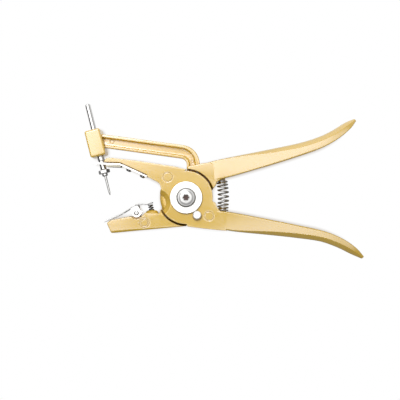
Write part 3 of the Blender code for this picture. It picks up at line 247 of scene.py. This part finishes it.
class Nodes:
    """Short hand for a node tree."""

    def __init__(self, tree):
        self.tree = tree
        self.shader = tree.nodes.get("Principled BSDF")

    def put(self, socket, value):
        """Give an input a number, a colour or another node's output."""
        if isinstance(value, bpy.types.NodeSocket):
            self.tree.links.new(value, socket)
        elif isinstance(value, tuple):
            socket.default_value = (*value, 1.0)
        else:
            socket.default_value = value

    def finish(self, name, value):
        """Give an input of the Principled node its value."""
        self.put(self.shader.inputs[name], value)

    def add(self, kind, **values):
        """A node whose inputs and settings are given by name."""
        node = self.tree.nodes.new(kind)
        for key, value in values.items():
            name = key.replace("_", " ").title()
            if name in node.inputs:
                self.put(node.inputs[name], value)
            else:
                setattr(node, key, value)
        return node

    def choose(self, share, shader, otherwise):
        """One shader where the share is 1, and another where it is 0."""
        node = self.add('ShaderNodeMixShader')
        for socket, value in zip(node.inputs, (share, otherwise, shader)):
            self.put(socket, value)
        return node.outputs[0]

    def maths(self, operation, *values):
        """A Math node on sockets or numbers."""
        node = self.add('ShaderNodeMath', operation=operation)
        for socket, value in zip(node.inputs, values):
            self.put(socket, value)
        return node.outputs[0]

    def least(self, first, *others):
        """The smallest of several values."""
        for other in others:
            first = self.maths('MINIMUM', first, other)
        return first

    def most(self, first, *others):
        """The largest of several values."""
        for other in others:
            first = self.maths('MAXIMUM', first, other)
        return first

    def length(self, across, along):
        """Length of the diagonal of two sides."""
        return self.maths('SQRT', self.maths('ADD', self.maths('MULTIPLY', across, across),
                                             self.maths('MULTIPLY', along, along)))

    def mix(self, factor, first, second):
        """A colour between two colours."""
        node = self.add('ShaderNodeMix', data_type='RGBA')
        for socket, value in zip((node.inputs[0], node.inputs[6], node.inputs[7]), (factor, first, second)):
            self.put(socket, value)
        return node.outputs[2]

    def spread(self, value, low, high, start=0.3, end=0.7, kind='LINEAR'):
        """A value brought to the range from low to high; start and end suit noise."""
        node = self.add('ShaderNodeMapRange', interpolation_type=kind, value=value,
                        from_min=start, from_max=end, to_min=low, to_max=high)
        return node.outputs["Result"]

    def ramp(self, value, start, end, low, high):
        """A smooth step from low to high."""
        return self.spread(value, low, high, start, end, 'SMOOTHSTEP')

    def past(self, value, limit):
        """0 below a limit and 1 above it, with a soft step between."""
        return self.spread(value, 0.0, 1.0, limit - BLUR, limit + BLUR)

    def short_of(self, value, limit):
        """1 below a limit and 0 above it, with a soft step between."""
        return self.maths('SUBTRACT', 1.0, self.past(value, limit))

    def place(self):
        """Object coordinates, which on every frame node are the part's own metres."""
        return self.add('ShaderNodeTexCoord').outputs["Object"]

    def noise(self, size, detail):
        """Noise whose largest features are this many millimetres wide."""
        node = self.add('ShaderNodeTexNoise', vector=self.place(), scale=1 / (size * MM),
                        detail=detail, roughness=0.55)
        return node.outputs["Fac"]

    def part(self, vector, name):
        """One component of a vector."""
        return self.add('ShaderNodeSeparateXYZ', vector=vector).outputs[name]

    def axis(self, name):
        """One object coordinate in millimetres."""
        return self.maths('DIVIDE', self.part(self.place(), name), MM)

    def reach(self, centre):
        """Distance in millimetres from an upright axis through this point."""
        return self.length(self.maths('SUBTRACT', self.axis("X"), centre[0]),
                           self.maths('SUBTRACT', self.axis("Y"), centre[1]))

    def geometry(self, name):
        """One output of the Geometry node."""
        return self.add('ShaderNodeNewGeometry').outputs[name]

    def rise(self):
        """1 on faces that look up, 0 on upright ones and -1 underneath."""
        return self.part(self.geometry("True Normal"), "Z")

    def underneath(self):
        """1 on faces that look down, and 0 elsewhere."""
        return self.maths('LESS_THAN', self.rise(), LOOKS_DOWN)

    def openness(self, reach, samples):
        """1 in the open, falling to 0 where everything within reach is covered."""
        return self.add('ShaderNodeAmbientOcclusion', samples=samples, distance=reach * MM).outputs["AO"]

    def soft_edges(self, radius):
        """Normals that roll over the edges, as on a tumbled casting."""
        return self.add('ShaderNodeBevel', samples=16, radius=radius * MM).outputs["Normal"]

    def bump(self, height, distance, strength, normal):
        """Bump of this many millimetres on top of other normals."""
        node = self.add('ShaderNodeBump', strength=strength, distance=distance * MM,
                        height=height, normal=normal)
        return node.outputs["Normal"]


def grey(value):
    """The slightly warm grey of nickel plate."""
    return (value, value * 0.99, value * 0.97)


def new_material(name, colour, metallic, roughness):
    """A Principled material with plain starting values, and short hand for its nodes."""
    material = bpy.data.materials.new(name)
    material.use_nodes = True
    material.diffuse_color = (*colour, 1.0)
    nodes = Nodes(material.node_tree)
    nodes.finish("Base Color", colour)
    nodes.finish("Metallic", metallic)
    nodes.finish("Roughness", roughness)
    return material, nodes


def crevices(nodes):
    """1 on open surfaces and under the tool, falling to 0 deep in a corner or a gap, where the enamel gets
    painted shade.
    """
    openness = nodes.openness(CREVICE_REACH, 8)
    return nodes.most(nodes.spread(openness, 0.0, 1.0, CREVICE_START, CREVICE_END), nodes.underneath())


def jaw_seam_shade(nodes):
    """0 along the edge of the upper jaw that the plate beds on, where a line of shade is painted, and 1
    elsewhere.
    """
    heights = []
    for start, end in ((JAW_TIP, JAW_BEND), (JAW_BEND, JAW_SEAT_END)):
        run = (Vector(end) - Vector(start)).normalized()
        across = nodes.maths('MULTIPLY', nodes.maths('SUBTRACT', nodes.axis("X"), start[0]), -run.y)
        along = nodes.maths('MULTIPLY', nodes.maths('SUBTRACT', nodes.axis("Y"), start[1]), run.x)
        heights.append(nodes.maths('ADD', across, along))
    height = nodes.maths('ABSOLUTE', nodes.most(*heights))
    return nodes.most(nodes.past(height, SEAM_SHADE), nodes.past(nodes.axis("X"), JAW_SEAT_END[0]))


def hollow_edge_shade(nodes):
    """0 on the edges of the front's two hollows round the hub disc, which get painted shade, and 1
    elsewhere.
    """
    start, end = HOLLOW_SHADE_RADII
    off_hub = nodes.reach(PIVOT)
    crossed = nodes.maths('LESS_THAN', nodes.maths('MULTIPLY', nodes.axis("X"), nodes.axis("Y")), 0.0)
    return nodes.most(nodes.short_of(off_hub, start), nodes.past(off_hub, end), crossed)


def washer_button_shadows(nodes):
    """Less than 1 where shadows are painted beside the washer and the stop button."""
    unshadowed = nodes.least(*[nodes.past(nodes.reach((x, y)), radius) for x, y, radius in PAINTED_SHADOW_PATCHES])
    return nodes.spread(unshadowed, PAINTED_SHADOW_SHARE, 1.0, 0.0, 1.0)


def ejector_rims(nodes):
    """0 in the fine groove round each ejector mark, and 1 elsewhere."""
    rims = []
    for x, y, radius in EJECTOR_MARKS:
        off_rim = nodes.maths('ABSOLUTE', nodes.maths('SUBTRACT', nodes.reach((x, y)), radius))
        rims.append(nodes.past(off_rim, MARK_WIDTH / 2))
    return nodes.least(*rims)


def polished(nodes):
    """0 in the scoop and on the coil seat's round, which stay as cast, and 1 elsewhere."""
    off_scoop = nodes.most(nodes.past(nodes.reach(SCOOP), SCOOP_RADIUS),
                           nodes.past(nodes.reach(PIVOT), HUB_RADIUS), nodes.underneath())
    off_seat = nodes.most(nodes.past(nodes.reach(COIL_SEAT), COIL_SEAT_RADIUS),
                          nodes.maths('GREATER_THAN', nodes.maths('ABSOLUTE', nodes.rise()), LEVEL))
    return nodes.least(off_scoop, off_seat)


def gold_casting(name, edge):
    """Gold enamel on a die casting: slight mottling, orange peel, and painted shade in crevices, gaps,
    along the plate's seat and round the hub.
    """
    material, nodes = new_material(name, ENAMEL_PLAIN, 0.0, 0.3)
    nodes.finish("IOR", ENAMEL_IOR)
    nodes.finish("Specular Tint", ENAMEL_GLOSS)
    enamel = nodes.mix(nodes.spread(nodes.noise(MOTTLE_SIZE, 2.0), 0.0, 1.0), ENAMEL_DEEP, ENAMEL_LIGHT)
    # Painted shade on the hollows' edges and painted shadows by the washer and button, on faces that look
    # up
    not_up = nodes.maths('LESS_THAN', nodes.rise(), LOOKS_UP)
    on_top = nodes.most(nodes.least(hollow_edge_shade(nodes), washer_button_shadows(nodes)), not_up)
    unshaded_share = nodes.least(crevices(nodes), jaw_seam_shade(nodes), on_top)
    # Painted shade: where the share falls, the base colour turns dark brown and the gloss dims
    nodes.finish("Base Color", nodes.mix(unshaded_share, ENAMEL_PAINTED_SHADE, enamel))
    nodes.finish("Specular IOR Level", nodes.spread(unshaded_share, PAINTED_SHADE_GLOSS, OPEN_GLOSS, 0.0, 1.0))
    polish = nodes.spread(nodes.noise(POLISH_SIZE, 4.0), POLISH_LOW, POLISH_HIGH)
    as_cast = nodes.spread(polished(nodes), AS_CAST_ROUGHNESS, 0.0, 0.0, 1.0)
    nodes.finish("Roughness", nodes.maths('ADD', polish, as_cast))
    peel = nodes.bump(nodes.noise(PEEL_SIZE, 2.0), PEEL_DEPTH, PEEL_STRENGTH, nodes.soft_edges(edge))
    nodes.finish("Normal", nodes.bump(ejector_rims(nodes), MARK_DEPTH, 1.0, peel))
    return material


def plated(name):
    """Nickel-plated steel with faint polishing marks and rounded edges."""
    shade, roughness, edge = STEELS[name]
    material, nodes = new_material(name, grey(shade), 1.0, roughness)
    grain = nodes.noise(STEEL_GRAIN, 4.0)
    nodes.finish("Roughness", nodes.spread(grain, roughness - STEEL_SMOOTHER, roughness + STEEL_ROUGHER))
    nodes.finish("Normal", nodes.soft_edges(edge))
    return material, nodes


def bright_steel(name):
    """Plated steel of one grey."""
    return plated(name)[0]


def satin_zinc():
    """Pale zinc plating, half matt, on the washers, the barrel and the stop pin."""
    material, nodes = new_material("satin_zinc", ZINC, ZINC_METALLIC, 0.3)
    nodes.finish("Roughness", nodes.spread(nodes.noise(ZINC_GRAIN, 3.0), ZINC_LOW, ZINC_HIGH))
    nodes.finish("Normal", nodes.soft_edges(ZINC_EDGE))
    return material


def screw_steel():
    """Plated steel with rings of grey painted as the head's lit and shaded bands, and painted shade inside
    the star socket.
    """
    material, nodes = plated("screw_steel")
    nodes.finish("Metallic", SCREW_METALLIC)
    radius = nodes.reach(PIVOT)
    head = grey(STEELS["screw_steel"][0])
    for limit, shade in SCREW_SHADE_RINGS:
        head = nodes.mix(nodes.past(radius, limit), head, grey(shade))
    head = nodes.mix(nodes.past(radius, SOCKET_RIM), grey(SOCKET_RIM_SHADE), head)
    near = nodes.maths('LESS_THAN', radius, SOCKET_RADIUS)
    above = nodes.maths('GREATER_THAN', nodes.axis("Z"), SCREW_HEAD_Z)
    sunk = nodes.maths('LESS_THAN', nodes.axis("Z"), SCREW_TOP - SOCKET_LIP)
    nodes.finish("Base Color", nodes.mix(nodes.least(near, above, sunk), head, SOCKET_SHADE))
    return material


def clip_steel():
    """Plated strip whose round ears get a painted highlight, paler than the pin and the strip."""
    material, nodes = plated("clip_steel")
    radius = nodes.reach(CLIP_PIVOT)
    ear = nodes.mix(nodes.past(radius, CLIP_PIN_RADIUS), grey(CLIP_PIN_GREY), grey(CLIP_EAR_HIGHLIGHT))
    strip = grey(STEELS["clip_steel"][0])
    nodes.finish("Base Color", nodes.mix(nodes.past(radius, CLIP_EAR_RADIUS), ear, strip))
    return material


def plate_steel():
    """Plated strip whose ribs over the jaw's tip get painted shade."""
    material, nodes = plated("plate_steel")
    ribs = nodes.maths('MULTIPLY', nodes.short_of(nodes.axis("X"), PLATE_RIBS[0]),
                       nodes.short_of(nodes.axis("Y"), PLATE_RIBS[1]))
    nodes.finish("Base Color", nodes.mix(ribs, grey(STEELS["plate_steel"][0]), RIB_PAINTED_SHADE))
    return material


def coil_points(foot, head, bow, radius, turns, steps, closed):
    """A coil between two points of the middle plane, its ends wound close."""
    run = head - foot
    side = Vector((run.y, -run.x, 0)).normalized()
    count = int(turns * steps)
    points = []
    for i in range(count + 1):
        share = i / count
        rise = share - math.sin(2 * math.pi * share) / (2 * math.pi) * closed
        centre = foot + run * rise + side * bow * math.sin(math.pi * rise)
        angle = 2 * math.pi * i / steps
        points.append(centre + side * radius * math.cos(angle) + Vector((0, 0, radius * math.sin(angle))))
    return points


def torsion_points(steps):
    """The pin arm's torsion spring: a coil round the pivot with an upright leg at each end."""
    count = int(TORSION_TURNS * steps)
    points = []
    for i in range(count + 1):
        angle = 2 * math.pi * i / steps
        rise = TORSION_FOOT_Z + TORSION_PITCH * i / steps
        points.append(Vector((TORSION_RADIUS * math.cos(angle), TORSION_RADIUS * math.sin(angle), rise)))
    low, high = points[0].copy(), points[-1].copy()
    low.z, high.z = TORSION_LEG_LOW_Z, TORSION_LEG_HIGH_Z
    return [low, *points, high]


def wound_wire(name, points, radius, material, node):
    """A round wire in place of a node's plain coil."""
    curve = bpy.data.curves.new(name, 'CURVE')
    curve.dimensions = '3D'
    curve.bevel_depth = radius * MM
    curve.bevel_resolution = WIRE_FACETS
    curve.use_fill_caps = True
    spline = curve.splines.new('POLY')
    spline.points.add(len(points) - 1)
    for point, place in zip(spline.points, points):
        point.co = (*(Vector(place) * MM), 1.0)
    wire = bpy.data.objects.new(name, curve)
    mesh = bpy.data.meshes.new_from_object(wire)
    bpy.data.objects.remove(wire)
    mesh.name = name
    mesh.materials.append(material)
    mesh.shade_smooth()
    piece = bpy.data.objects.new(name, mesh)
    bpy.context.scene.collection.objects.link(piece)
    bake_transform(piece)
    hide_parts(node)


def springs():
    """The coil springs, wound with round wire where the frame has plain coils."""
    wire_steel = bright_steel("spring_steel")
    foot, head = Vector((*HANDLE_SPRING_FOOT, MIDDLE_Z)), Vector((*HANDLE_SPRING_HEAD, MIDDLE_Z))
    inset = (head - foot).normalized() * (HANDLE_SPRING_WIRE + SEAT)
    points = coil_points(foot + inset, head - inset, HANDLE_SPRING_BOW, HANDLE_SPRING_RADIUS,
                         HANDLE_SPRING_TURNS, COIL_STEPS, HANDLE_SPRING_CLOSED)
    wound_wire("handle_coil", points, HANDLE_SPRING_WIRE, wire_steel, "handle_spring")
    foot = Vector((CLIP_SPRING_X, CLIP_SPRING_FOOT, MIDDLE_Z))
    head = Vector((CLIP_SPRING_X + CLIP_SPRING_LEAN, CLIP_SPRING_HEAD, MIDDLE_Z))
    points = coil_points(foot, head, 0.0, CLIP_SPRING_RADIUS, CLIP_SPRING_TURNS,
                         SMALL_COIL_STEPS, CLIP_SPRING_CLOSED)
    wound_wire("clip_coil", points, CLIP_SPRING_WIRE, bright_steel("clip_wire_steel"), "clip_spring")
    foot = Vector((*PIVOT, TORSION_FOOT_Z))
    head = foot + Vector((0.0, 0.0, TORSION_PITCH * TORSION_TURNS))
    wound_wire("retract_coil", torsion_points(SMALL_COIL_STEPS), TORSION_WIRE, wire_steel, "retract_spring")


def dress(names, material):
    """Finish frame nodes: smooth round sides, crisp corners and a material."""
    for name in names:
        node = frame["nodes"][name]
        mesh = node.data
        mesh.materials.clear()
        mesh.materials.append(material)
        if "custom_normal" in mesh.attributes:
            mesh.attributes.remove(mesh.attributes["custom_normal"])
        mesh.shade_smooth()
        weld = node.modifiers.new("weld", 'WELD')
        weld.merge_threshold = WELD_METRES
        split = node.modifiers.new("corners", 'EDGE_SPLIT')
        split.split_angle = math.radians(CORNER_DEGREES)
        split.use_edge_sharp = False
        flat = node.modifiers.new("flat_faces", 'WEIGHTED_NORMAL')
        flat.mode = 'FACE_AREA'
        flat.weight = FLAT_WEIGHT


def camera():
    """A camera straight above, square to the tool."""
    data = bpy.data.cameras.new("camera")
    data.lens = CAMERA_LENS
    data.sensor_width = SENSOR_WIDTH
    eye = bpy.data.objects.new("camera", data)
    eye.location = (CAMERA_TARGET[0] * MM, CAMERA_TARGET[1] * MM, (FRONT_PLANE + CAMERA_HEIGHT) * MM)
    bpy.context.scene.collection.objects.link(eye)
    bpy.context.scene.camera = eye


def mirrored_sky(nodes):
    """Strength of the sky in gloss: a dim eye, a bright ring round it and a dark horizon."""
    generated = nodes.add('ShaderNodeTexCoord').outputs["Generated"]
    east, north = nodes.part(generated, "X"), nodes.part(generated, "Y")
    from_eye = nodes.length(nodes.maths('ADD', east, EYE_WEST), nodes.maths('ADD', north, EYE_SOUTH))
    ring = nodes.maths('MULTIPLY', nodes.ramp(north, *RING_TURN, RING_LOW, RING_HIGH),
                       nodes.ramp(east, EAST_START, EAST_END, 1.0, EAST_SHADE))
    south_start, south_end, south_shade = SOUTH_FALL
    north_start, north_end, north_shade = NORTH_FALL
    falls = nodes.maths('MULTIPLY', nodes.ramp(north, south_start, south_end, south_shade, 1.0),
                        nodes.ramp(north, north_start, north_end, 1.0, north_shade))
    ring = nodes.maths('MULTIPLY', ring, falls)
    inner = nodes.ramp(from_eye, EYE_EDGE, RING_START, SKY_EYE, ring)
    sides = nodes.maths('ADD', nodes.maths('MULTIPLY', east, HORIZON_EAST),
                        nodes.maths('MULTIPLY', north, HORIZON_NORTH))
    horizon = nodes.most(nodes.maths('ADD', sides, HORIZON), HORIZON_LEAST)
    outer = nodes.ramp(nodes.length(east, north), RING_END, HORIZON_START, 0.0, 1.0)
    return nodes.maths('ADD', nodes.maths('MULTIPLY', inner, nodes.maths('SUBTRACT', 1.0, outer)),
                       nodes.maths('MULTIPLY', horizon, outer))


def world():
    """White to the camera, soft light on the tool, and its own picture to what mirrors it."""
    studio = bpy.data.worlds.new("studio")
    studio.use_nodes = True
    bpy.context.scene.world = studio
    studio.node_tree.nodes.clear()
    nodes = Nodes(studio.node_tree)
    paths = nodes.add('ShaderNodeLightPath')
    soft, gloss, seen = [nodes.add('ShaderNodeBackground', color=WHITE, strength=strength).outputs[0]
                         for strength in (SKY_DIFFUSE, mirrored_sky(nodes), 1.0)]
    sky = nodes.choose(paths.outputs["Is Glossy Ray"], gloss, soft)
    sky = nodes.choose(paths.outputs["Is Camera Ray"], seen, sky)
    nodes.add('ShaderNodeOutputWorld', surface=sky)
    studio.cycles.sampling_method = 'NONE'


def key_light():
    """A square soft box that isn't seen itself."""
    data = bpy.data.lights.new("key", 'AREA')
    data.size = KEY_SIZE
    data.energy = KEY_POWER
    light = bpy.data.objects.new("key", data)
    light.location = KEY_PLACE
    light.rotation_euler = (Vector(KEY_TARGET) - Vector(KEY_PLACE)).to_track_quat('-Z', 'Y').to_euler()
    light.visible_camera = False
    bpy.context.scene.collection.objects.link(light)


def floor():
    """A white floor with a soft shadow close to the tool, open from below and dark in gloss."""
    bpy.ops.mesh.primitive_plane_add(size=FLOOR_METRES, location=(0.0, 0.0, -FLOOR_GAP * MM))
    plane = bpy.context.object
    plane.name = "floor"
    material, nodes = new_material("floor_white", FLOOR_COLOUR, 0.0, FLOOR_ROUGHNESS)
    paths = nodes.add('ShaderNodeLightPath')
    unshaded_share = nodes.spread(nodes.openness(SHADOW_REACH, 16), 0.0, 1.0, SHADOW_START, SHADOW_END)
    seen = nodes.add('ShaderNodeEmission', color=nodes.mix(unshaded_share, SHADOW, WHITE)).outputs[0]
    north = nodes.spread(nodes.axis("Y"), FLOOR_MIRRORED, FLOOR_NORTH, 0.0, FLOOR_NORTH_END)
    mirrored = nodes.add('ShaderNodeEmission', strength=north).outputs[0]
    surface = nodes.add('ShaderNodeEmission', strength=FLOOR_LIT).outputs[0]
    surface = nodes.choose(paths.outputs["Is Camera Ray"], seen, surface)
    surface = nodes.choose(paths.outputs["Is Glossy Ray"], mirrored, surface)
    clear = nodes.add('ShaderNodeBsdfTransparent').outputs[0]
    surface = nodes.choose(nodes.geometry("Backfacing"), clear, surface)
    nodes.put(nodes.tree.nodes["Material Output"].inputs["Surface"], surface)
    plane.data.materials.append(material)


def main():
    """Set the stage, then dress every piece of the frame."""
    bpy.context.scene.view_settings.view_transform = 'Standard'
    camera()
    world()
    floor()
    key_light()
    dress(["front_lever", "rear_lever"], gold_casting("gold_casting", LEVER_EDGE))
    dress(["pin_arm"], gold_casting("gold_arm_casting", ARM_EDGE))
    dress(["pivot_screw"], screw_steel())
    dress(["pivot_barrel", "front_washer", "rear_washer", "stop_pin"], satin_zinc())
    dress(["set_screw", "lock_nut", "plate_screw_front", "plate_screw_rear"], bright_steel("bright_steel"))
    dress(["plunger_rod"], bright_steel("rod_steel"))
    dress(["needle"], bright_steel("needle_steel"))
    dress(["stripper_plate"], plate_steel())
    dress(["tag_clip", "clip_pin"], clip_steel())
    springs()


main()
